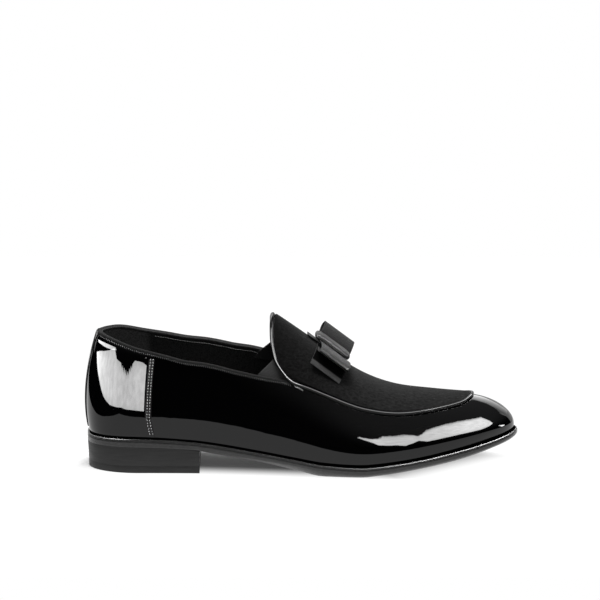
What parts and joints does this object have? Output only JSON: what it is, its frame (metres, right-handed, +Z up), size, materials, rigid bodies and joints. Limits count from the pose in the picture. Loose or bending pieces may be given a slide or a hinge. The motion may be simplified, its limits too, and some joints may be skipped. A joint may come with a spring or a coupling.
{
  "type": "dress loafer",
  "caption": "Right-foot dress loafer: glossy hollow upper, nap-faced apron and tongue edged with piping, flat ribbon bow, thin bevelled sole and stacked heel.",
  "frame": {"origin": "middle of the shoe's box, on the floor that it stands on", "axes": "+X towards the toe, +Y towards the medial side, +Z up"},
  "size_m": [0.3, 0.0994, 0.1057],
  "materials": {
    "patent_leather": "mirror gloss",
    "nap_cloth": "matte nap",
    "ribbon": "fine ribs, low sheen",
    "binding_tape": "matte woven",
    "elastic": "matte ribbed",
    "sole_leather": "waxed satin edge",
    "heel_stack": "satin",
    "heel_lift": "satin",
    "insole_leather": "matte"
  },
  "bodies": {
    "root": {"outsole": "sole_leather", "welt": "sole_leather", "heel_block": "heel_stack", "heel_top_lift": "heel_lift", "insole": "insole_leather", "upper": "patent_leather", "counter": "patent_leather", "backstay": "patent_leather", "piping": "patent_leather", "apron": "nap_cloth", "collar_binding": "binding_tape", "gore_lateral": "elastic", "gore_medial": "elastic", "bow_base": "ribbon", "bow_knot": "ribbon", "bow_upper_loop_lateral": "ribbon", "bow_upper_loop_medial": "ribbon", "bow_lower_loop_lateral": "ribbon", "bow_lower_loop_medial": "ribbon"}
  },
  "joints": []
}
